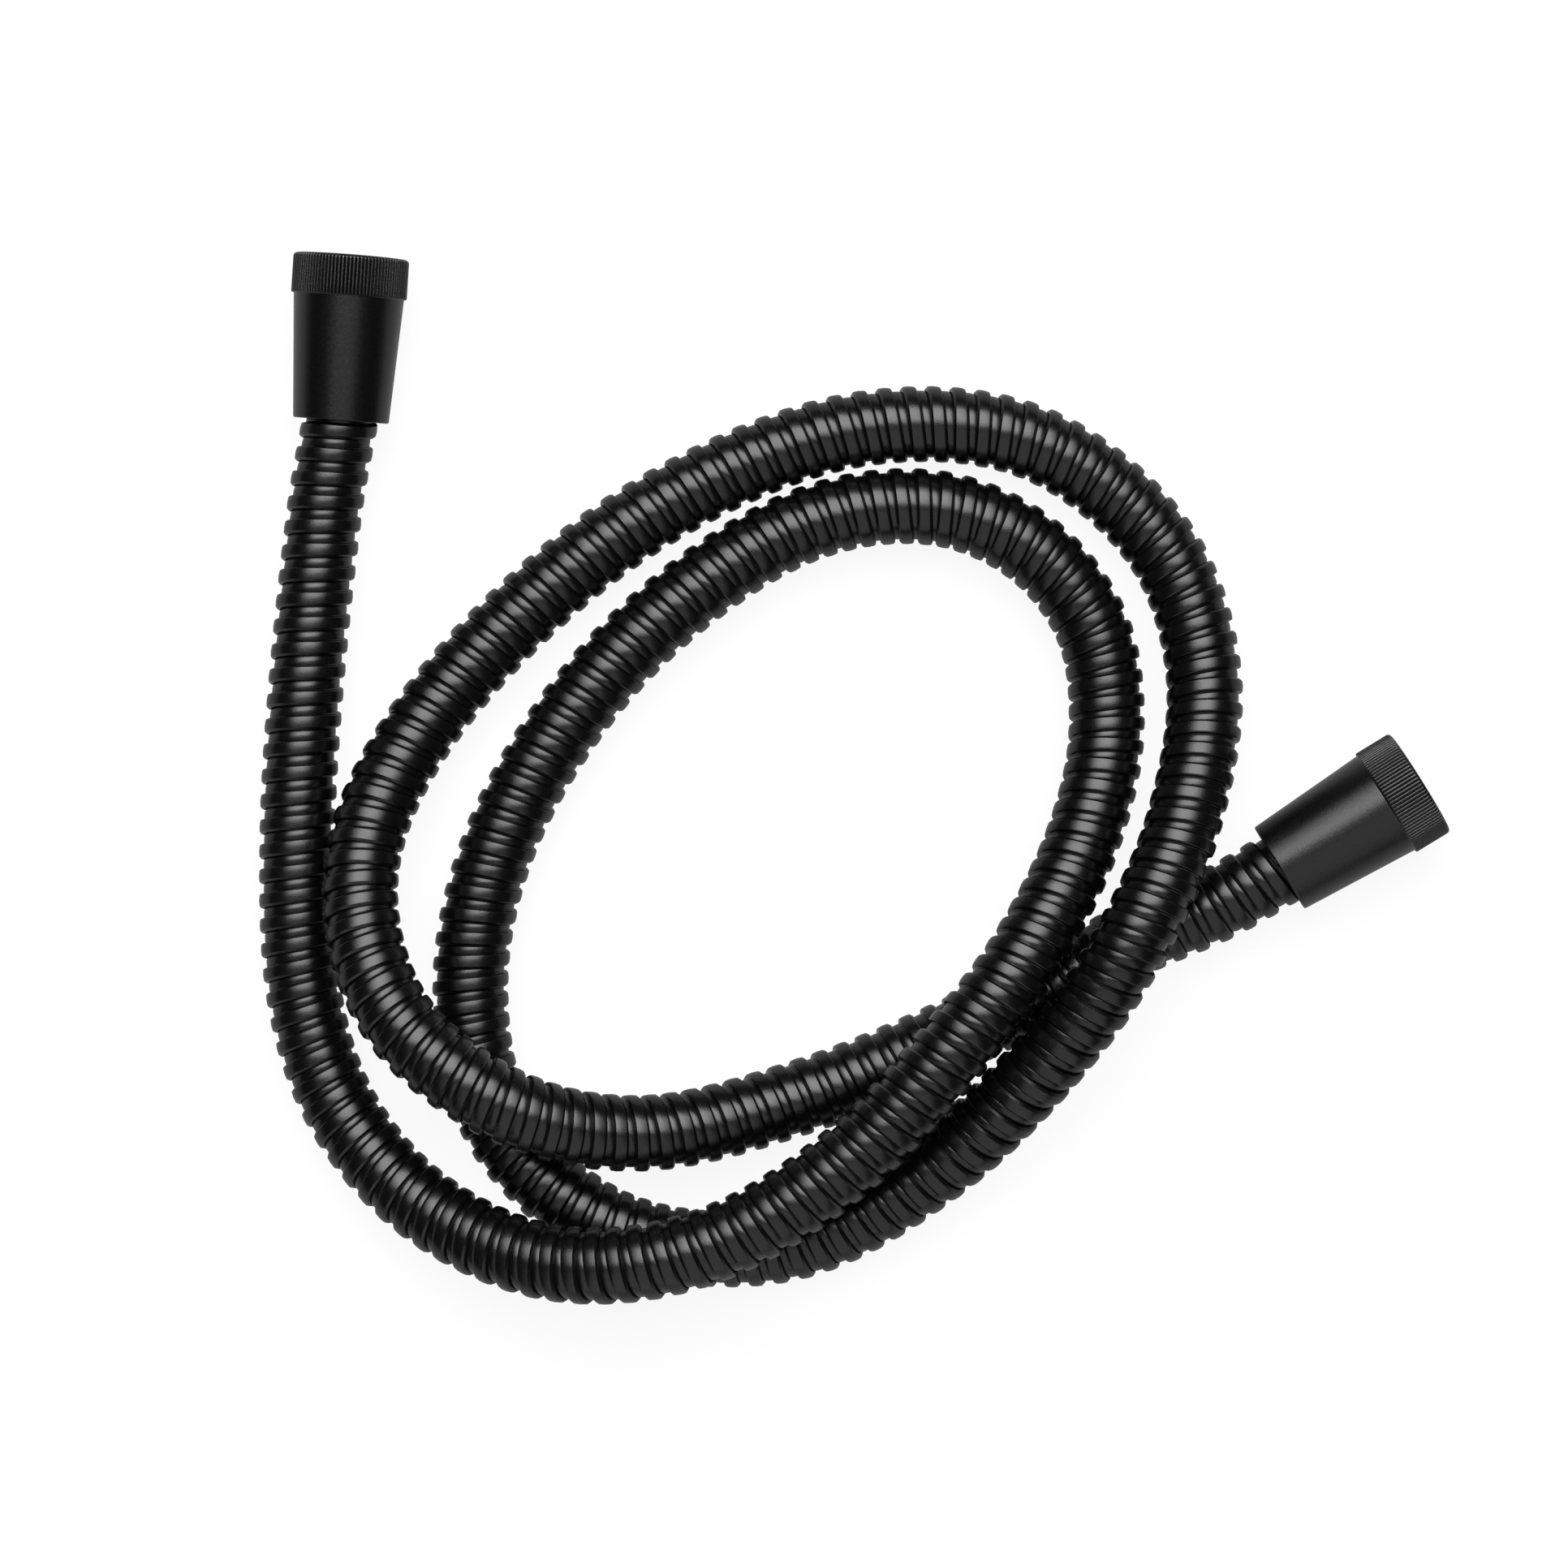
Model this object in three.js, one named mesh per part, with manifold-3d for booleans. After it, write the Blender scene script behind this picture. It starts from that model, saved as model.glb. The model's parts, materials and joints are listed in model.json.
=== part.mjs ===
// Shower hose: a strip-wound metal hose round a plastic inner tube, with the same
// captive conical nut at each end, lying on a table in a loose loop of two turns.
// Millimetres, +Z up. The origin is under the middle of the whole hose, on the table.
import * as THREE from 'three';
import { mergeVertices } from 'three/addons/utils/BufferGeometryUtils.js';
import ManifoldModule from 'manifold-3d';

const wasm = await ManifoldModule();
wasm.setup();

// Fit between pieces that touch or turn in each other
const seam = 0.3;

// Metal hose and the tube inside it
const hoseDiameter = 17.0;      // over the crowns of the wound strip
const stripHeight = 1.35;       // from the crowns to the metal hose's bore
const tubeWall = 1.2;
const hoseSides = 10;
const hoseSteps = 64;
const turnedSides = 24;
const nutSides = 48;

// Conical nut, with the G 1/2 thread's inside diameter as its bore
const nutLength = 36.4;
const ringLength = 8.8;
const ringStep = 0.6;           // the ring's height over the sleeve
const sleeveFlare = 1.6;        // radius that the sleeve gains from its end to the ring
const endWall = 0.85;           // at the narrow end
const threadBore = 18.63;
const threadRelief = 1.285;     // depth of the relief behind the thread
const rimRound = 0.9;
const edgeChamfer = 0.25;
const endChamfer = 0.4;
const mouthChamfer = 0.9;
const shoulderThickness = 2.0;
const nutWall = 1.3;            // of the sleeve round the cavity, at the shoulder

// Straight knurl round the ring
const fluteCount = 96;
const fluteDepth = 0.42;
const fluteLand = 0.25;         // share of the pitch that stays uncut at the crest

// Sealing washer, in front of the tail's flange
const washerDepth = 8.0;        // from the nut's mouth to the washer's face
const washerThickness = 2.0;
const washerHole = 11.0;

// Tail: flange, neck and barbed shank in one turned piece
const flangeThickness = 2.0;
const neckLength = 2.8;
const barbCount = 4;
const barbPitch = 3.8;
const barbHeight = 0.45;
const barbEdge = 0.05;          // length of a barb's steep side
const tailWall = 0.49;          // between the barbs and the waterway
const straightPast = 4.0;       // the hose runs straight this far past the tail

// Pressed ferrule over the cut end of the metal hose
const ferruleWall = 0.6;
const ferruleLip = 0.8;
const ferruleLength = 7.0;
const ferrulePass = 0.35;       // lets the ferrule through the nut's narrow end

// Where each nut's mouth is above the table, and which way it faces
const ends = {
  a: { mouth: [-111.5, 115.0], heading: 85.8 },
  b: { mouth: [125.3, -1.6], heading: 31.8 },
};

// Middle line of the hose between the nuts, from nut a to nut b.
// Each point is x, y and the lift above a hose that lies on the table.
const route = [
  // from nut a down the left side and round the lower left
  [-118, 58.5, 0.6], [-124, -11.5, 0.1], [-122, -52, 0.2], [-113.5, -75.5, 1.1], [-96.5, -94.5, 5.3],
  // up over the strand below it, along the bottom and over the last strand
  [-72, -106, 12.6], [-49.5, -107, 17.5], [-26.5, -100.5, 18.5], [0.5, -82.5, 18.4],
  [25, -55.5, 18.1], [37.5, -39, 15.3], [50.5, -14, 7.7],
  // inner turn: right side, top and left side
  [56, 9.5, 2.4], [53, 33, 0.3], [39.5, 50.5, 0.1], [18, 59.5, 0.1], [-11.5, 55.5, 0.1],
  [-50.5, 28, 0.1], [-77.5, -11.5, 0.1], [-85.5, -47, 0.1], [-78.5, -79, 0.1],
  // under two strands at the lower left, then outside the first one
  [-53, -101, 0.2], [-15.5, -104.5, 0.3], [18, -87, 3.6],
  // over the last strand, then the outer turn: right side and top
  [48, -55.5, 15.3], [61, -35, 18.1], [72, -11, 12.8], [77.5, 22, 3.9], [68, 51.5, 0.5],
  [40, 74, 0.2], [1, 77, 0.1], [-47.5, 57, 0.2],
  // leaning on the first strand at the left, and over the inner turn
  [-90, 19, 1], [-107, -11, 6.8], [-108.5, -32.5, 11.8], [-99.5, -54.5, 16.5],
  [-76, -72.5, 17.5], [-48, -79, 10.2],
  // last strand, under two others and into nut b
  [-10, -71, 1.6], [33.5, -52.5, 0.2], [61.5, -37, 0.2], [81, -28.5, 0.9],
];

// Radii
const hoseR = hoseDiameter / 2;
const hoseBoreR = hoseR - stripHeight;
// a faceted bore is this much narrower at its flats than at its corners
const facet = Math.cos(Math.PI / hoseSides);
const tubeR = hoseBoreR * facet - seam;
const tubeBoreR = tubeR - tubeWall;
const ferruleR = hoseR + seam + ferruleWall;
const openingR = ferruleR + ferrulePass;
const narrowR = openingR + endWall;
const sleeveR = narrowR + sleeveFlare;
const ringR = sleeveR + ringStep;
const boreR = threadBore / 2;
const reliefR = boreR + threadRelief;
const washerR = boreR - seam;
const neckR = tubeR - seam;
const shoulderR = neckR + seam;
const barbR = tubeBoreR * facet - seam;
const barbRootR = barbR - barbHeight;
const waterwayR = barbRootR - tailWall;

// Depths behind the nut's mouth, in the order in which the pieces follow
const flangeFront = washerDepth + washerThickness + seam;
const flangeBack = flangeFront + flangeThickness;
const shoulderFront = flangeBack + seam;
const shoulderBack = shoulderFront + shoulderThickness;
const neckBack = flangeBack + neckLength;
const tubeStart = neckBack + seam;
const ferruleFront = shoulderBack + seam;
const hoseStart = ferruleFront + ferruleLip + seam;
const tailEnd = neckBack + barbCount * barbPitch;
const straightEnd = tailEnd + straightPast;

// Materials
const painted = { color: 0x1b1b1d, roughness: 0.5, metalness: 0.35 };
const looks = {
  hose: { color: 0x232325, roughness: 0.38, metalness: 0.6 },
  nut: painted,
  tube: { color: 0xd8d8d2, roughness: 0.45, metalness: 0.0 },
  brass: { color: 0xb08d4a, roughness: 0.35, metalness: 1.0 },
  steel: { color: 0xa9abad, roughness: 0.35, metalness: 1.0 },
  rubber: { color: 0x161616, roughness: 0.8, metalness: 0.0 },
};

function makeMesh(name, geometry, look) {
  const mesh = new THREE.Mesh(geometry, new THREE.MeshStandardMaterial(look));
  mesh.name = name;
  return mesh;
}

// A turned piece from its closed half section, given as radius and depth behind the mouth
function turned(section, segments) {
  const loop = section.map(([radius, depth]) => new THREE.Vector2(radius, -depth));
  if (THREE.ShapeUtils.area(loop) < 0) {
    loop.reverse();
  }
  loop.push(loop[0].clone());
  return new THREE.LatheGeometry(loop, segments);
}

function toSolid(geometry) {
  const bare = new THREE.BufferGeometry();
  bare.setAttribute('position', geometry.getAttribute('position'));
  bare.setIndex(geometry.getIndex());
  const welded = mergeVertices(bare, 1e-4);
  return new wasm.Manifold(new wasm.Mesh({
    numProp: 3,
    vertProperties: new Float32Array(welded.getAttribute('position').array),
    triVerts: new Uint32Array(welded.getIndex().array),
  }));
}

function toGeometry(solid) {
  const mesh = solid.getMesh();
  const geometry = new THREE.BufferGeometry();
  geometry.setAttribute('position', new THREE.BufferAttribute(mesh.vertProperties, 3));
  geometry.setIndex(new THREE.BufferAttribute(mesh.triVerts, 1));
  geometry.computeVertexNormals();
  return geometry;
}

// Everything outside the knurl's toothed outline, as a pipe round the ring
function knurlCutter() {
  const outside = ringR + 10 * fluteDepth;
  const teeth = new THREE.Path();
  const pitch = (2 * Math.PI) / fluteCount;
  // the flanks run on past the ring's surface, so each crest keeps a flat land
  const rise = 1 / (1 - fluteLand);
  const crestR = ringR + fluteDepth * (rise - 1);
  const rootR = ringR - fluteDepth;
  const corners = [];
  for (let i = 0; i < fluteCount; i += 1) {
    const angle = i * pitch;
    corners.push(new THREE.Vector2(Math.cos(angle) * rootR, Math.sin(angle) * rootR));
    const crest = angle + pitch / 2;
    corners.push(new THREE.Vector2(Math.cos(crest) * crestR, Math.sin(crest) * crestR));
  }
  teeth.setFromPoints([...corners, corners[0]]);
  const pipe = new THREE.Shape();
  pipe.absarc(0, 0, outside, 0, 2 * Math.PI);
  pipe.holes.push(teeth);
  const geometry = new THREE.ExtrudeGeometry(pipe, {
    depth: ringLength + 1,
    bevelEnabled: false,
    curveSegments: 16,
  });
  // stand the pipe on the nut's axis, from just above the mouth down to the ring's back face
  geometry.rotateX(Math.PI / 2);
  geometry.translate(0, 1, 0);
  return geometry;
}

// Arc over the mouth's outer edge, from its face round to the ring's side
function rimArc(steps) {
  const points = [];
  for (let i = 0; i <= steps; i += 1) {
    const angle = (i / steps) * (Math.PI / 2);
    points.push([
      ringR - rimRound + rimRound * Math.sin(angle),
      rimRound - rimRound * Math.cos(angle),
    ]);
  }
  return points;
}

function conicalNut() {
  // the cavity follows the sleeve's taper at the shoulder and opens for the ferrule
  const taper = (sleeveR - narrowR) / (nutLength - ringLength);
  const cavityR = sleeveR - taper * (shoulderBack - ringLength) - nutWall;
  const body = turned([
    [boreR + mouthChamfer, 0],
    ...rimArc(2),
    [ringR, ringLength - edgeChamfer],
    [ringR - edgeChamfer, ringLength],
    [sleeveR, ringLength],
    [narrowR + taper * endChamfer, nutLength - endChamfer],
    [narrowR - endChamfer, nutLength],
    [openingR, nutLength],
    [cavityR, shoulderBack],
    [shoulderR, shoulderBack],
    [shoulderR, shoulderFront],
    [reliefR, shoulderFront],
    [reliefR, washerDepth + washerThickness],
    [boreR, washerDepth + washerThickness - (reliefR - boreR)],
    [boreR, mouthChamfer],
  ], nutSides);
  return toGeometry(toSolid(body).subtract(toSolid(knurlCutter())));
}

function sealingWasher() {
  const back = washerDepth + washerThickness;
  return turned([
    [washerHole / 2, washerDepth],
    [washerR, washerDepth],
    [washerR, back],
    [washerHole / 2, back],
  ], turnedSides);
}

function hoseTail() {
  const section = [
    [waterwayR, flangeFront],
    [washerR, flangeFront],
    [washerR, flangeBack],
    [neckR, flangeBack],
    [neckR, neckBack],
  ];
  // each barb is sharp towards the flange and slopes down towards the hose
  for (let i = 0; i < barbCount; i += 1) {
    section.push([barbR, neckBack + i * barbPitch + (i > 0 ? barbEdge : 0)]);
    section.push([barbRootR, neckBack + (i + 1) * barbPitch]);
  }
  section.push([waterwayR, tailEnd]);
  return turned(section, turnedSides);
}

function hoseFerrule() {
  const lipR = tubeR + seam;
  const innerR = hoseR + seam;
  return turned([
    [lipR, ferruleFront],
    [ferruleR - edgeChamfer, ferruleFront],
    [ferruleR, ferruleFront + edgeChamfer],
    [ferruleR, ferruleFront + ferruleLength],
    [innerR, ferruleFront + ferruleLength],
    [innerR, ferruleFront + ferruleLip],
    [lipR, ferruleFront + ferruleLip],
  ], turnedSides);
}

// A nut lies on the back edge of its ring and on its narrow end, so its axis leans up
const lean = Math.atan2(ringR - narrowR, nutLength - ringLength);

function endPlace(end) {
  const heading = THREE.MathUtils.degToRad(end.heading);
  const outward = new THREE.Vector3(
    Math.cos(heading) * Math.cos(lean),
    Math.sin(heading) * Math.cos(lean),
    Math.sin(lean),
  );
  const height = ringR * Math.cos(lean) + ringLength * Math.sin(lean);
  const mouth = new THREE.Vector3(end.mouth[0], end.mouth[1], height);
  const turn = new THREE.Quaternion().setFromUnitVectors(new THREE.Vector3(0, 1, 0), outward);
  return { mouth, outward, turn };
}

function atDepth(place, depth) {
  return place.mouth.clone().addScaledVector(place.outward, -depth);
}

// The hose and its tube follow one line, from inside nut a to inside nut b
function hosePath(startDepth) {
  const a = endPlace(ends.a);
  const b = endPlace(ends.b);
  return new THREE.CatmullRomCurve3([
    atDepth(a, startDepth), atDepth(a, tailEnd), atDepth(a, straightEnd),
    ...route.map(([x, y, lift]) => new THREE.Vector3(x, y, hoseR + lift)),
    atDepth(b, straightEnd), atDepth(b, tailEnd), atDepth(b, startDepth),
  ]);
}

function ringOutline(radius, outline) {
  for (let i = 0; i < hoseSides; i += 1) {
    const angle = (i / hoseSides) * 2 * Math.PI;
    const x = radius * Math.cos(angle);
    const y = radius * Math.sin(angle);
    if (i === 0) {
      outline.moveTo(x, y);
    } else {
      outline.lineTo(x, y);
    }
  }
  outline.closePath();
  return outline;
}

function longTube(outerR, innerR, startDepth) {
  const section = ringOutline(outerR, new THREE.Shape());
  section.holes.push(ringOutline(innerR, new THREE.Path()));
  return new THREE.ExtrudeGeometry(section, {
    steps: hoseSteps,
    bevelEnabled: false,
    extrudePath: hosePath(startDepth),
  });
}

const group = new THREE.Group();
group.name = 'shower_hose';
group.add(makeMesh('metal_hose', longTube(hoseR, hoseBoreR, hoseStart), looks.hose));
group.add(makeMesh('inner_tube', longTube(tubeR, tubeBoreR, tubeStart), looks.tube));

for (const [letter, end] of Object.entries(ends)) {
  const place = endPlace(end);
  const pieces = [
    makeMesh(`conical_nut_${letter}`, conicalNut(), looks.nut),
    makeMesh(`sealing_washer_${letter}`, sealingWasher(), looks.rubber),
    makeMesh(`hose_tail_${letter}`, hoseTail(), looks.brass),
    makeMesh(`hose_ferrule_${letter}`, hoseFerrule(), looks.steel),
  ];
  for (const piece of pieces) {
    piece.quaternion.copy(place.turn);
    piece.position.copy(place.mouth);
    group.add(piece);
  }
}

// Put the origin under the middle of the whole, on the table
group.updateMatrixWorld(true);
const box = new THREE.Box3().setFromObject(group, true);
group.position.set(-(box.min.x + box.max.x) / 2, -(box.min.y + box.max.y) / 2, -box.min.z);
group.updateMatrixWorld(true);

export default group;
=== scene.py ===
import json
import math

import bpy
import numpy as np
from mathutils import Matrix, Vector


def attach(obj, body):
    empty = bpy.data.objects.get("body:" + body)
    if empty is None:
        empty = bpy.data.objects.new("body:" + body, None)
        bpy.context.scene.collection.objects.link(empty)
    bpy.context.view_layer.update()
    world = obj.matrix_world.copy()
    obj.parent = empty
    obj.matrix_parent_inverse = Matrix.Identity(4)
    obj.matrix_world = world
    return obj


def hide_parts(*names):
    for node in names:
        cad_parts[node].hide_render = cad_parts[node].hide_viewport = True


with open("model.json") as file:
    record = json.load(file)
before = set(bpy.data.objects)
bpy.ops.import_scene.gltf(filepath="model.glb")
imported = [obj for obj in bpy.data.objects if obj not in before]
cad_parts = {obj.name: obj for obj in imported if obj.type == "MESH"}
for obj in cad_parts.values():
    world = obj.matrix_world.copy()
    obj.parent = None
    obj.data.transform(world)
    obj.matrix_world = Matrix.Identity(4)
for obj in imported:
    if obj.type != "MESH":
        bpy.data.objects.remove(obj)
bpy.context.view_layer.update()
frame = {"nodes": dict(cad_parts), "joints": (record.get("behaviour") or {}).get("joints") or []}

# Metal hose: one strip wound in a right-handed helix
HOSE_R = 0.0085           # over the crowns
PITCH = 0.00561           # from one turn of the strip to the next where the hose is drawn out
FIRST_TURN = 0.54         # share of a turn by which the strip starts round the hose
STEPS_PER_TURN = 26
BEND_SPREAD = 0.020       # length over which the turns feel a bend
BEND_REACH = 75           # points of the middle line on either side that count for it

# Half section of the strip: place along the hose from the crown's middle, and radius
STRIP = [
    (-0.00560, 0.00688), (-0.00402, 0.00704), (-0.00344, 0.00738), (-0.00272, 0.00744),
    (-0.00210, 0.00745), (-0.00190, 0.00735), (-0.00172, 0.00749), (-0.00158, 0.00816),
    (-0.00147, 0.00829), (-0.00122, 0.00839), (-0.00010, 0.00850), (0.00096, 0.00843),
    (0.00144, 0.00798), (0.00149, 0.00744),
]

# Depths behind each nut's mouth: the metal hose's cut end, the tail's end, and the place
# to which the hose runs straight
HOSE_START = 0.0160
TAIL_END = 0.0303
STRAIGHT_END = 0.0343

# Middle line of the hose between the nuts: x, y and the lift above a hose on the table
ROUTE = [
    (-0.1180, 0.0585, 0.0006), (-0.1240, -0.0115, 0.0001), (-0.1220, -0.0520, 0.0002),
    (-0.1135, -0.0755, 0.0011), (-0.0965, -0.0945, 0.0053), (-0.0720, -0.1060, 0.0126),
    (-0.0495, -0.1070, 0.0175), (-0.0265, -0.1005, 0.0185), (0.0005, -0.0825, 0.0184),
    (0.0250, -0.0555, 0.0181), (0.0375, -0.0390, 0.0153), (0.0505, -0.0140, 0.0077),
    (0.0560, 0.0095, 0.0024), (0.0530, 0.0330, 0.0003), (0.0395, 0.0505, 0.0001),
    (0.0180, 0.0595, 0.0001), (-0.0115, 0.0555, 0.0001), (-0.0505, 0.0280, 0.0001),
    (-0.0775, -0.0115, 0.0001), (-0.0855, -0.0470, 0.0001), (-0.0785, -0.0790, 0.0001),
    (-0.0530, -0.1010, 0.0002), (-0.0155, -0.1045, 0.0003), (0.0180, -0.0870, 0.0036),
    (0.0480, -0.0555, 0.0153), (0.0610, -0.0350, 0.0181), (0.0720, -0.0110, 0.0128),
    (0.0775, 0.0220, 0.0039), (0.0680, 0.0515, 0.0005), (0.0400, 0.0740, 0.0002),
    (0.0010, 0.0770, 0.0001), (-0.0475, 0.0570, 0.0002), (-0.0900, 0.0190, 0.0010),
    (-0.1070, -0.0110, 0.0068), (-0.1085, -0.0325, 0.0118), (-0.0995, -0.0545, 0.0165),
    (-0.0760, -0.0725, 0.0175), (-0.0480, -0.0790, 0.0102), (-0.0100, -0.0710, 0.0016),
    (0.0335, -0.0525, 0.0002), (0.0615, -0.0370, 0.0002), (0.0810, -0.0285, 0.0009),
]
# Nut a's mouth in the same measure, which ties the route to the frame
ROUTE_MOUTH_A = Vector((-0.1115, 0.1150))
SPLINE_STEPS = 80         # from one point of the route to the next
LINE_SPACING = 0.0008

# Plastic tube inside the metal hose
TUBE_R = 0.0065
TUBE_BORE_R = 0.0053
TUBE_START = 0.0154       # depth behind each nut's mouth
TUBE_SIDES = 32
TUBE_STEP = 3             # points of the middle line from one ring of the tube to the next

# Conical nut
NUT_LENGTH = 0.0364
RING_R = 0.0128
RING_LENGTH = 0.0088
RING_ROWS = (0.0022, 0.0045, 0.0066)   # depths of the rows along the knurl
RING_RIM = 0.0009         # rounding at the mouth
RING_EDGE = 0.00025       # rounding at the ring's back
SLEEVE_R = 0.0122
SLEEVE_ROW = 0.010        # from the ring's back to a row along the sleeve
NARROW_R = 0.0106
NARROW_EDGE = 0.0004      # rounding at the narrow end
OPENING_R = 0.00975
SHOULDER_R = 0.0065
SHOULDER_FRONT = 0.0126
SHOULDER_BACK = 0.0146
RELIEF_R = 0.0106
RELIEF_RISE = 0.0009      # length over which the thread runs out into the relief
WASHER_FRONT = 0.0080
WASHER_BACK = 0.0100
NUT_WALL = 0.0013
FLUTES = 96
FLUTE_DEPTH = 0.00030
STEPS_PER_FLUTE = 8

# G 1/2 thread: radii at its crest and root inside the nut, and its pitch
THREAD_CREST_R = 0.009315
THREAD_ROOT_R = 0.010478
THREAD_PITCH = 0.001814
THREAD_ROWS = 44
THREAD_FLANKS = 3.2       # steepness of the flanks
THREAD_TOP = 1.25         # height at which the flanks would meet; cut off at 1, a flat crest

# Tail and washer
FLANGE_R = 0.0090
FLANGE_FRONT = 0.0103
FLANGE_BACK = 0.0123
NECK_R = 0.0062
NECK_BACK = 0.0151
SHANK_R = 0.0047
SHANK_END_R = 0.0043
WATERWAY_R = 0.0038
WATERWAY_BEVEL = 0.0004
WASHER_R = 0.0090
WASHER_HOLE_R = 0.0055
END_SIDES = 96            # of the tails and washers

# Small bevels and gaps of the turned pieces
BEVEL = 0.0002
HAIR = 0.0001

# Angles above which an edge stays sharp
STRIP_SHARP = 30
TURNED_SHARP = 35
TUBE_SHARP = 40

# Looks
BLACK = (0.0014, 0.0014, 0.0015)
PATCH_DETAIL = 4.0
GRAIN_DETAIL = 3.0
GRAIN_DEPTH = 0.0001

# White ground: paper that partly glows where the camera sees it, and a world with a faint
# light everywhere, which is white where the camera sees it
FLOOR_HALF = 3.0
PAPER_SHARE = 0.7         # share of the glow in what the camera sees of the paper
PAPER_LIGHT = 1.30
PAPER_IN_GLOSS = 0.18     # share of it that shiny surfaces reflect
SKY_LIGHT = 0.035
SKY_WHITE = 0.92          # added to it for the camera
SKY_IN_GLOSS = 0.01

# Lamps: direction from the object, distance, width, height and power. key_edge is a wider
# lamp at the key's place, which gives the key's reflection dimmer sides.
LAMPS = {
    "key": ((0.0, 0.47, 0.88), 2.4, 1.6, 1.95, 35.0),
    "key_edge": ((0.0, 0.47, 0.88), 2.41, 2.9, 1.95, 58.0),
    "fill": ((0.0, -0.75, 0.66), 1.8, 2.1, 2.9, 14.0),
}

# Camera: straight above the middle of the photograph
CAMERA_HEIGHT = 0.950
ROUTE_CAMERA = Vector((-0.01565, -0.00200))   # in the route's measure
PHOTO_PIXELS = 1932
PIXELS_PER_METRE = 5530   # on the middle line of a hose that lies on the table


def place_of(nut):
    """Mouth centre and outward axis of a nut, from its joint in the frame."""
    joint = next(j for j in frame["joints"] if j["child"] == nut)
    return Vector(joint["pos_m"]), Vector(joint["axis"]).normalized()


MOUTH_A, OUT_A = place_of("nut_a")
MOUTH_B, OUT_B = place_of("nut_b")
ROUTE_SHIFT = MOUTH_A.xy - ROUTE_MOUTH_A


def spline_point(p0, p1, p2, p3, share):
    """A point between p1 and p2 on the smooth curve through four points, spaced by distance."""
    t1 = (p1 - p0).length ** 0.5
    t2 = t1 + (p2 - p1).length ** 0.5
    t3 = t2 + (p3 - p2).length ** 0.5
    t = t1 + share * (t2 - t1)
    a1 = p0.lerp(p1, t / t1)
    a2 = p1.lerp(p2, (t - t1) / (t2 - t1))
    a3 = p2.lerp(p3, (t - t2) / (t3 - t2))
    b1 = a1.lerp(a2, t / t2)
    b2 = a2.lerp(a3, (t - t1) / (t3 - t1))
    return b1.lerp(b2, (t - t1) / (t2 - t1))


def middle_line():
    """The hose's middle line as evenly spaced points, from inside nut a to inside nut b,
    and its length."""
    corners = [MOUTH_A - OUT_A * d for d in (HOSE_START, TAIL_END, STRAIGHT_END)]
    for x, y, lift in ROUTE:
        corners.append(Vector((x + ROUTE_SHIFT.x, y + ROUTE_SHIFT.y, HOSE_R + lift)))
    corners += [MOUTH_B - OUT_B * d for d in (STRAIGHT_END, TAIL_END, HOSE_START)]
    corners = [corners[0] * 2 - corners[1], *corners, corners[-1] * 2 - corners[-2]]
    dense = []
    for i in range(1, len(corners) - 2):
        for k in range(SPLINE_STEPS):
            dense.append(spline_point(*corners[i - 1:i + 3], k / SPLINE_STEPS))
    dense.append(corners[-2])
    dense = np.array(dense)
    steps = np.linalg.norm(np.diff(dense, axis=0), axis=1)
    along = np.concatenate([[0.0], np.cumsum(steps)])
    count = int(along[-1] / LINE_SPACING)
    even = np.linspace(0.0, along[-1], count + 1)
    line = np.stack([np.interp(even, along, dense[:, axis]) for axis in range(3)], axis=1)
    return line, along[-1]


def frames_along(line):
    """Direction, side and up at each point of a line, turned as little as possible."""
    direction = np.gradient(line, axis=0)
    direction /= np.linalg.norm(direction, axis=1)[:, None]
    side = np.zeros_like(direction)
    start = np.cross(direction[0], (0.0, 0.0, 1.0))
    side[0] = start / np.linalg.norm(start)
    for i in range(1, len(line)):
        kept = side[i - 1] - direction[i] * np.dot(side[i - 1], direction[i])
        side[i] = kept / np.linalg.norm(kept)
    return direction, side, np.cross(direction, side)


def make_object(name, vertices, faces, material, sharp):
    """A smooth-shaded mesh object with sharp edges above an angle."""
    mesh = bpy.data.meshes.new(name)
    mesh.from_pydata([tuple(v) for v in vertices], [], faces)
    mesh.polygons.foreach_set("use_smooth", [True] * len(mesh.polygons))
    mesh.set_sharp_from_angle(angle=math.radians(sharp))
    mesh.materials.append(material)
    mesh.update()
    obj = bpy.data.objects.new(name, mesh)
    bpy.context.scene.collection.objects.link(obj)
    # Broad faces keep their own direction, and the narrow ones beside them take the rounding
    weighted = obj.modifiers.new("broad_faces", "WEIGHTED_NORMAL")
    weighted.keep_sharp = True
    return obj


def turns_along(direction, spacing):
    """Number of turns of the strip before each point. In a bend the turns close up on the
    inside and stay drawn out on the outside."""
    bend = np.linalg.norm(np.gradient(direction, axis=0), axis=1) / spacing
    reach = np.arange(-BEND_REACH, BEND_REACH + 1)
    weight = np.exp(-0.5 * (reach * spacing / BEND_SPREAD) ** 2)
    padded = np.pad(bend, BEND_REACH, mode="edge")
    bend = np.convolve(padded, weight / weight.sum(), mode="valid")
    per_metre = (1 + HOSE_R * bend) / PITCH
    steps = (per_metre[1:] + per_metre[:-1]) / 2 * spacing
    return np.concatenate([[0.0], np.cumsum(steps)])


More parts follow.
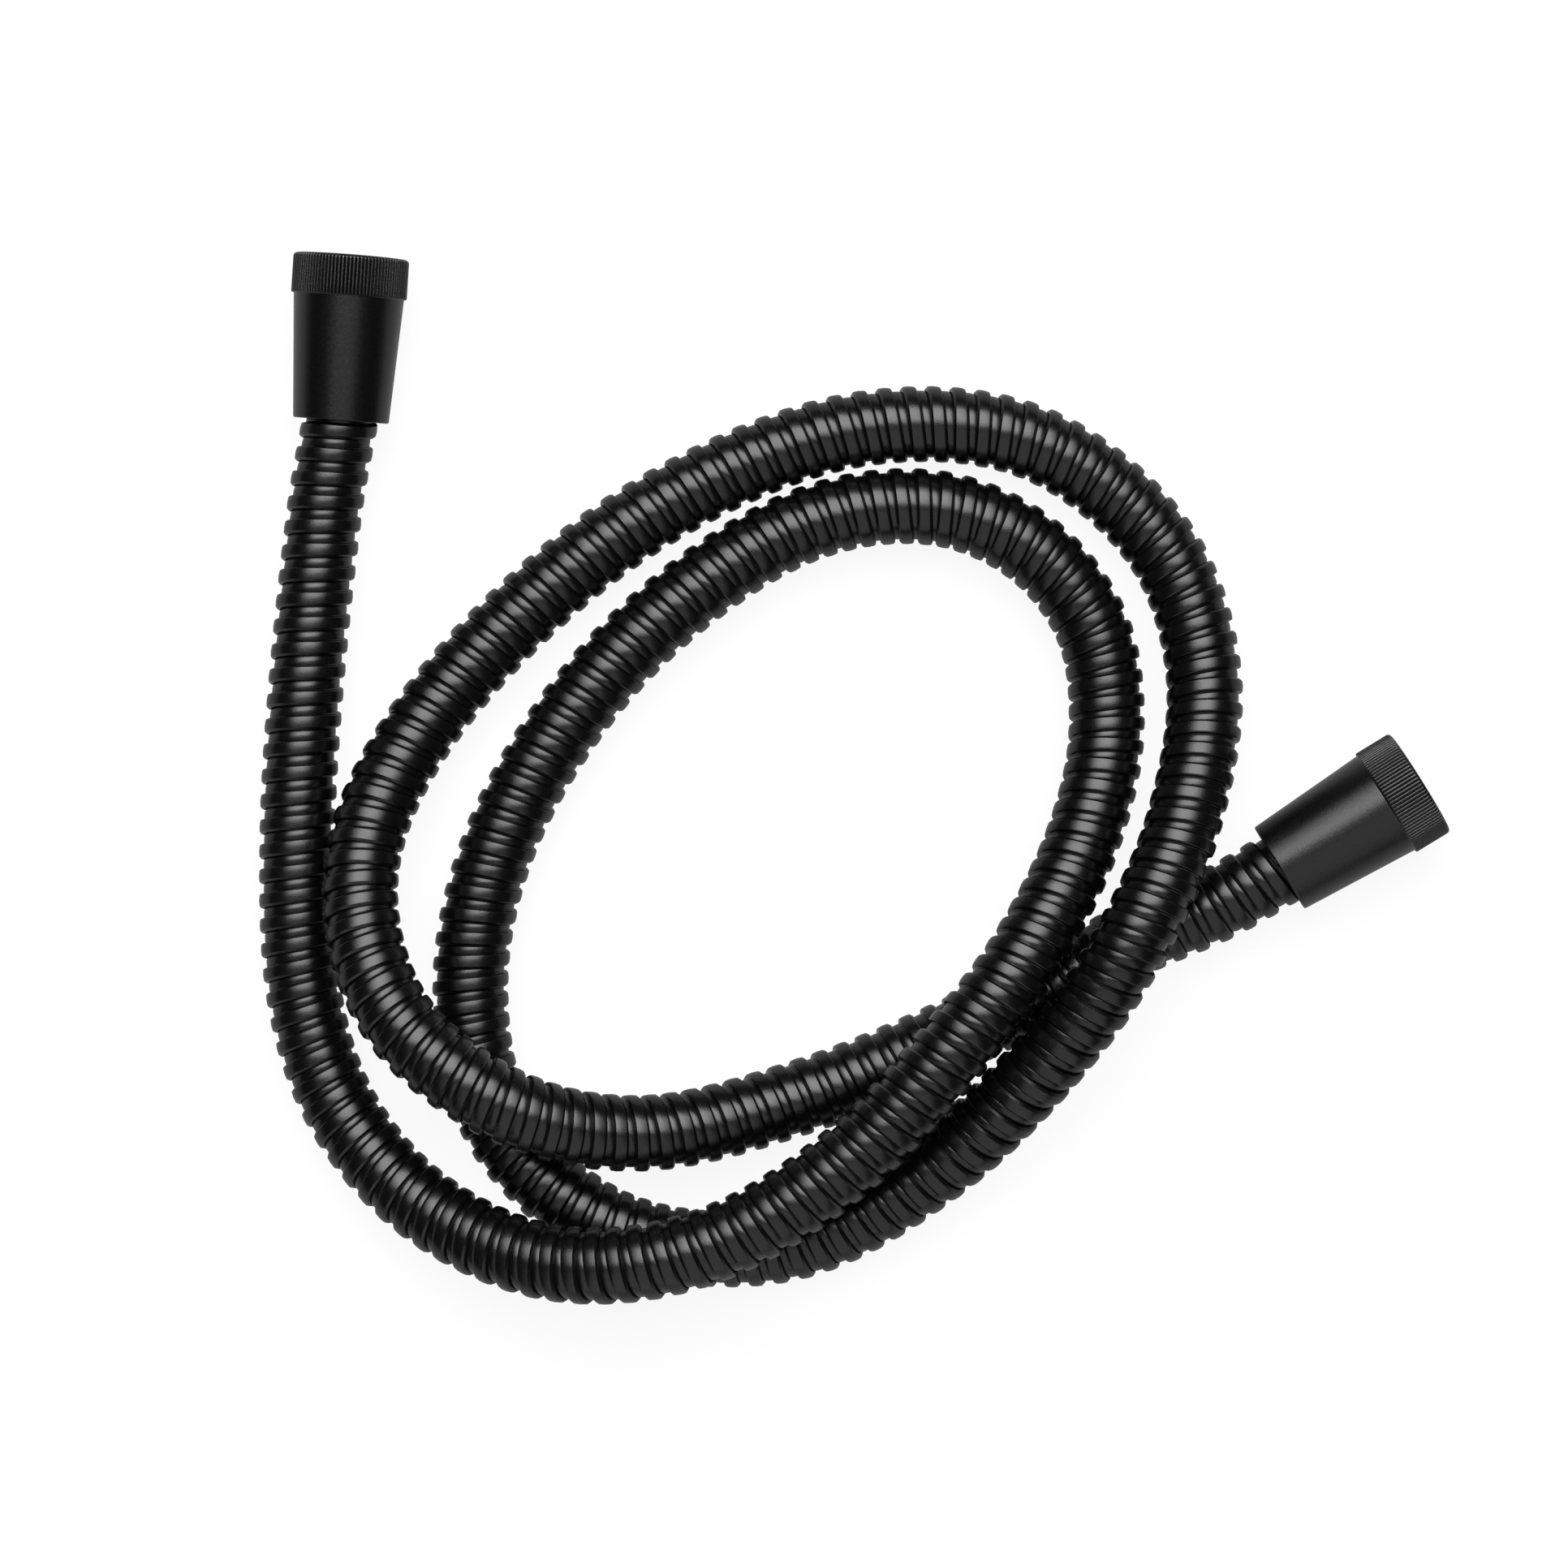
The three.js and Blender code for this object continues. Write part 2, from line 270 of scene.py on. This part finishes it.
def wound_strip(line, length, material):
    """The metal hose: the strip's half section carried round the middle line in a helix."""
    direction, side, up = frames_along(line)
    turns = turns_along(direction, length / (len(line) - 1))
    steps = int(turns[-1] * STEPS_PER_TURN)
    turn = np.arange(steps + 1) / STEPS_PER_TURN
    at = np.interp(turn, turns, np.arange(len(line)))
    low = np.minimum(at.astype(int), len(line) - 2)
    share = (at - low)[:, None]

    def between(values):
        return values[low] * (1 - share) + values[low + 1] * share

    centre, d, s, u = (between(v) for v in (line, direction, side, up))
    angle = (2 * math.pi * (turn + FIRST_TURN))[:, None]
    out = s * np.cos(angle) + u * np.sin(angle)
    rows = [centre + d * along + out * radius for along, radius in STRIP]
    vertices = np.stack(rows, axis=1).reshape(-1, 3)
    width = len(STRIP)
    faces = []
    for i in range(steps):
        for j in range(width - 1):
            a = i * width + j
            faces.append((a, a + width, a + width + 1, a + 1))
    return make_object("metal_hose_strip", vertices, faces, material, STRIP_SHARP)


def inner_tube(line, material):
    """The plastic tube: a smooth round wall that starts and ends a little past the metal hose."""
    direction, side, up = (values[::TUBE_STEP] for values in frames_along(line))
    centre = line[::TUBE_STEP].copy()
    centre[0] -= direction[0] * (HOSE_START - TUBE_START)
    centre[-1] = line[-1] + direction[-1] * (HOSE_START - TUBE_START)
    angle = (2 * math.pi * np.arange(TUBE_SIDES) / TUBE_SIDES)[None, :, None]
    out = side[:, None] * np.cos(angle) + up[:, None] * np.sin(angle)
    walls = [centre[:, None] + out * radius for radius in (TUBE_R, TUBE_BORE_R)]
    vertices = np.concatenate(walls).reshape(-1, 3)
    inside = len(centre) * TUBE_SIDES
    last = inside - TUBE_SIDES
    faces = []
    for k in range(TUBE_SIDES):
        k2 = (k + 1) % TUBE_SIDES
        for i in range(len(centre) - 1):
            a, b = i * TUBE_SIDES + k, i * TUBE_SIDES + k2
            c, d = b + TUBE_SIDES, a + TUBE_SIDES
            faces += [(a, b, c, d), (a + inside, d + inside, c + inside, b + inside)]
        faces.append((k, k + inside, k2 + inside, k2))
        faces.append((k + last, k2 + last, k2 + last + inside, k + last + inside))
    return make_object("inner_tube_smooth", vertices, faces, material, TUBE_SHARP)


def turned(name, section, sides, material, shape=None):
    """A piece turned about local Z from a closed half section of radius and depth.
    shape(radius, depth, angle) may change the radius round the piece."""
    vertices = []
    for radius, depth in section:
        for k in range(sides):
            angle = 2 * math.pi * k / sides
            r = shape(radius, depth, angle) if shape else radius
            vertices.append((r * math.cos(angle), r * math.sin(angle), -depth))
    faces = []
    rows = len(section)
    for i in range(rows):
        this_row, next_row = i * sides, ((i + 1) % rows) * sides
        for k in range(sides):
            k2 = (k + 1) % sides
            faces.append((this_row + k, next_row + k, next_row + k2, this_row + k2))
    return make_object(name, vertices, faces, material, TURNED_SHARP)


def arc(centre_r, centre_depth, radius, start, end, steps):
    """Points of an arc in the half section. Angles in degrees, 0 outwards and 90 to the mouth."""
    points = []
    for i in range(steps + 1):
        angle = math.radians(start + (end - start) * i / steps)
        r = centre_r + radius * math.cos(angle)
        points.append((r, centre_depth - radius * math.sin(angle)))
    return points


def nut_section():
    """Half section of the conical nut, from the mouth over the outside and back up the bore."""
    taper = (SLEEVE_R - NARROW_R) / (NUT_LENGTH - RING_LENGTH)
    cavity_r = SLEEVE_R - taper * (SHOULDER_BACK - RING_LENGTH) - NUT_WALL
    outside = [
        (THREAD_ROOT_R + HAIR, 0.0),
        *arc(RING_R - RING_RIM, RING_RIM, RING_RIM, 90, 0, 8),
        *((RING_R, depth) for depth in RING_ROWS),
        *arc(RING_R - RING_EDGE, RING_LENGTH - RING_EDGE, RING_EDGE, 0, -90, 3),
        (SLEEVE_R + BEVEL, RING_LENGTH), (SLEEVE_R, RING_LENGTH + BEVEL),
        (SLEEVE_R - taper * SLEEVE_ROW, RING_LENGTH + SLEEVE_ROW),
        (NARROW_R + taper * NARROW_EDGE, NUT_LENGTH - NARROW_EDGE),
        *arc(NARROW_R - NARROW_EDGE, NUT_LENGTH - NARROW_EDGE, NARROW_EDGE, 0, -80, 4),
        (OPENING_R + BEVEL, NUT_LENGTH), (OPENING_R, NUT_LENGTH - BEVEL),
        (cavity_r, SHOULDER_BACK),
        (SHOULDER_R, SHOULDER_BACK), (SHOULDER_R, SHOULDER_FRONT),
        (RELIEF_R, SHOULDER_FRONT), (RELIEF_R, WASHER_BACK + HAIR),
    ]
    depths = [WASHER_BACK * (1 - i / THREAD_ROWS) for i in range(THREAD_ROWS)]
    return outside + [(THREAD_CREST_R, depth) for depth in depths]


def nut_shape(radius, depth, angle):
    """Cuts the knurl's flutes into the ring and the thread into the bore."""
    if radius == THREAD_CREST_R:
        phase = (depth / THREAD_PITCH - angle / (2 * math.pi)) % 1.0
        height = min(1.0, max(0.0, THREAD_TOP - abs(phase - 0.5) * THREAD_FLANKS))
        mouth = THREAD_ROOT_R + HAIR - depth
        thread = THREAD_ROOT_R - (THREAD_ROOT_R - THREAD_CREST_R) * height
        fade = min(1.0, max(0.0, (WASHER_BACK - depth) / RELIEF_RISE))
        return max(mouth, RELIEF_R + (thread - RELIEF_R) * fade)
    if depth <= RING_LENGTH and radius > SLEEVE_R:
        # Round ribs with a narrow valley between them
        phase = (angle * FLUTES / (2 * math.pi)) % 1.0
        return min(radius, RING_R - FLUTE_DEPTH * abs(2 * phase - 1) ** 3)
    return radius


def washer_section():
    """Half section of the sealing washer."""
    return [
        (WASHER_HOLE_R, WASHER_FRONT + BEVEL), (WASHER_HOLE_R + BEVEL, WASHER_FRONT),
        (WASHER_R - BEVEL, WASHER_FRONT), (WASHER_R, WASHER_FRONT + BEVEL),
        (WASHER_R, WASHER_BACK), (WASHER_HOLE_R, WASHER_BACK),
    ]


def tail_section():
    """Half section of the hose's tail: flange, neck and a shank that the tube hides."""
    return [
        (WATERWAY_R, FLANGE_FRONT + WATERWAY_BEVEL), (WATERWAY_R + WATERWAY_BEVEL, FLANGE_FRONT),
        (FLANGE_R - BEVEL, FLANGE_FRONT), (FLANGE_R, FLANGE_FRONT + BEVEL),
        (FLANGE_R, FLANGE_BACK), (NECK_R, FLANGE_BACK), (NECK_R, NECK_BACK),
        (SHANK_R, NECK_BACK), (SHANK_END_R, TAIL_END), (WATERWAY_R, TAIL_END),
    ]


def principled(name, color, metallic, roughness):
    """A Principled material. Returns it, its node tree and its shader."""
    material = bpy.data.materials.new(name)
    material.use_nodes = True
    tree = material.node_tree
    shader = tree.nodes["Principled BSDF"]
    shader.inputs["Base Color"].default_value = (*color, 1.0)
    shader.inputs["Metallic"].default_value = metallic
    shader.inputs["Roughness"].default_value = roughness
    return material, tree, shader


def finish(name, color, metallic, roughness, patches, low, high, bump=0.0, grain_scale=None):
    """A material whose roughness varies in patches between two values round its own, with
    a fine grain if a bump is given. The scales of patches and grain are per metre."""
    material, tree, shader = principled(name, color, metallic, roughness)
    coordinates = tree.nodes.new("ShaderNodeTexCoord")
    noise = tree.nodes.new("ShaderNodeTexNoise")
    noise.inputs["Scale"].default_value = patches
    noise.inputs["Detail"].default_value = PATCH_DETAIL
    ramp = tree.nodes.new("ShaderNodeMapRange")
    ramp.inputs["To Min"].default_value = low
    ramp.inputs["To Max"].default_value = high
    tree.links.new(coordinates.outputs["Object"], noise.inputs["Vector"])
    tree.links.new(noise.outputs["Fac"], ramp.inputs["Value"])
    tree.links.new(ramp.outputs["Result"], shader.inputs["Roughness"])
    if bump:
        grain = tree.nodes.new("ShaderNodeTexNoise")
        grain.inputs["Scale"].default_value = grain_scale
        grain.inputs["Detail"].default_value = GRAIN_DETAIL
        relief = tree.nodes.new("ShaderNodeBump")
        relief.inputs["Strength"].default_value = bump
        relief.inputs["Distance"].default_value = GRAIN_DEPTH
        tree.links.new(coordinates.outputs["Object"], grain.inputs["Vector"])
        tree.links.new(grain.outputs["Fac"], relief.inputs["Height"])
        tree.links.new(relief.outputs["Normal"], shader.inputs["Normal"])
    return material


def background_share(tree, glossy):
    """1 to the camera and through glass, and a smaller share in what shiny surfaces reflect."""
    light_path = tree.nodes.new("ShaderNodeLightPath")
    seen = light_path.outputs["Is Camera Ray"]
    for kind, strength in (("Is Glossy Ray", glossy), ("Is Transmission Ray", 1.0)):
        part = tree.nodes.new("ShaderNodeMath")
        part.operation = "MULTIPLY"
        part.inputs[1].default_value = strength
        either = tree.nodes.new("ShaderNodeMath")
        either.operation = "MAXIMUM"
        tree.links.new(light_path.outputs[kind], part.inputs[0])
        tree.links.new(seen, either.inputs[0])
        tree.links.new(part.outputs[0], either.inputs[1])
        seen = either.outputs[0]
    return seen


def paper():
    """White paper that shows a light shadow."""
    material, tree, shader = principled("paper", (0.28, 0.28, 0.28), 0.0, 0.9)
    shader.inputs["Specular IOR Level"].default_value = 0.1
    share = tree.nodes.new("ShaderNodeMath")
    share.operation = "MULTIPLY"
    share.inputs[1].default_value = PAPER_SHARE
    white = tree.nodes.new("ShaderNodeEmission")
    white.inputs["Strength"].default_value = PAPER_LIGHT
    blend = tree.nodes.new("ShaderNodeMixShader")
    tree.links.new(background_share(tree, PAPER_IN_GLOSS), share.inputs[0])
    tree.links.new(share.outputs[0], blend.inputs["Fac"])
    tree.links.new(shader.outputs["BSDF"], blend.inputs[1])
    tree.links.new(white.outputs["Emission"], blend.inputs[2])
    output = tree.nodes["Material Output"]
    tree.links.new(blend.outputs["Shader"], output.inputs["Surface"])
    return material


def softbox(name, direction, distance, width, height, power):
    """A soft rectangular lamp that looks at the middle of the object."""
    lamp = bpy.data.lights.new(name, "AREA")
    lamp.shape = "RECTANGLE"
    lamp.size = width
    lamp.size_y = height
    lamp.energy = power
    obj = bpy.data.objects.new(name, lamp)
    toward = Vector(direction).normalized()
    obj.location = toward * distance
    obj.rotation_mode = "QUATERNION"
    obj.rotation_quaternion = toward.to_track_quat("Z", "Y")
    bpy.context.scene.collection.objects.link(obj)


black_hose = finish("black_hose", BLACK, 0.0, 0.26, 900.0, 0.21, 0.31, 0.25, 4000.0)
black_nut = finish("black_nut", BLACK, 0.0, 0.27, 1200.0, 0.22, 0.32, 0.28, 5000.0)
plastic = finish("tube_plastic", (0.70, 0.70, 0.67), 0.0, 0.45, 500.0, 0.40, 0.50)
brass = finish("turned_brass", (0.69, 0.53, 0.27), 1.0, 0.28, 700.0, 0.22, 0.34)
steel = finish("pressed_steel", (0.60, 0.60, 0.61), 1.0, 0.30, 700.0, 0.25, 0.36)
rubber = finish("washer_rubber", (0.018, 0.018, 0.018), 0.0, 0.75, 800.0, 0.70, 0.80, 0.4, 3000.0)

line, hose_length = middle_line()
hose = wound_strip(line, hose_length, black_hose)
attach(hose, "hose")
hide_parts("metal_hose")

tube = inner_tube(line, plastic)
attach(tube, "hose")
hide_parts("inner_tube")

for letter, mouth, outward in (("a", MOUTH_A, OUT_A), ("b", MOUTH_B, OUT_B)):
    place = Matrix.Translation(mouth) @ outward.to_track_quat("Z", "Y").to_matrix().to_4x4()
    nut_sides = FLUTES * STEPS_PER_FLUTE
    nut = turned(f"nut_{letter}_detail", nut_section(), nut_sides, black_nut, nut_shape)
    washer = turned(f"washer_{letter}_detail", washer_section(), END_SIDES, rubber)
    tail = turned(f"tail_{letter}_detail", tail_section(), END_SIDES, brass)
    for piece, body, node, slot in (
        (nut, f"nut_{letter}", f"conical_nut_{letter}", "black_nut"),
        (washer, f"nut_{letter}", f"sealing_washer_{letter}", "washer"),
        (tail, "hose", f"hose_tail_{letter}", "tail"),
    ):
        piece.data.transform(place)
        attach(piece, body)
        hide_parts(node)

# The ferrules stay as they are and take their material
for node in ("hose_ferrule_a", "hose_ferrule_b"):
    mesh = frame["nodes"][node].data
    mesh.materials.clear()
    mesh.materials.append(steel)

# Floor
floor_mesh = bpy.data.meshes.new("floor")
floor_mesh.from_pydata(
    [
        (-FLOOR_HALF, -FLOOR_HALF, 0), (FLOOR_HALF, -FLOOR_HALF, 0),
        (FLOOR_HALF, FLOOR_HALF, 0), (-FLOOR_HALF, FLOOR_HALF, 0),
    ],
    [],
    [(0, 1, 2, 3)],
)
floor_mesh.materials.append(paper())
floor = bpy.data.objects.new("floor", floor_mesh)
bpy.context.scene.collection.objects.link(floor)

# World: a faint even light on the object, and white where the camera sees past the paper
world = bpy.data.worlds.new("studio")
world.use_nodes = True
sky = world.node_tree.nodes["Background"]
sky.inputs["Color"].default_value = (1.0, 1.0, 1.0, 1.0)
level = world.node_tree.nodes.new("ShaderNodeMath")
level.operation = "MULTIPLY_ADD"
level.inputs[1].default_value = SKY_WHITE
level.inputs[2].default_value = SKY_LIGHT
sky_share = background_share(world.node_tree, SKY_IN_GLOSS)
world.node_tree.links.new(sky_share, level.inputs[0])
world.node_tree.links.new(level.outputs[0], sky.inputs["Strength"])
bpy.context.scene.world = world

for lamp_name, settings in LAMPS.items():
    softbox(lamp_name, *settings)

# Camera
camera_data = bpy.data.cameras.new("camera")
camera = bpy.data.objects.new("camera", camera_data)
camera.location = (*(ROUTE_CAMERA + ROUTE_SHIFT), CAMERA_HEIGHT)
focal_pixels = PIXELS_PER_METRE * (CAMERA_HEIGHT - HOSE_R)
camera_data.sensor_width = 36.0
camera_data.lens = camera_data.sensor_width * focal_pixels / PHOTO_PIXELS
camera_data.clip_start = 0.01
camera_data.clip_end = 20.0
bpy.context.scene.collection.objects.link(camera)
bpy.context.scene.camera = camera
bpy.context.scene.view_settings.view_transform = "Standard"
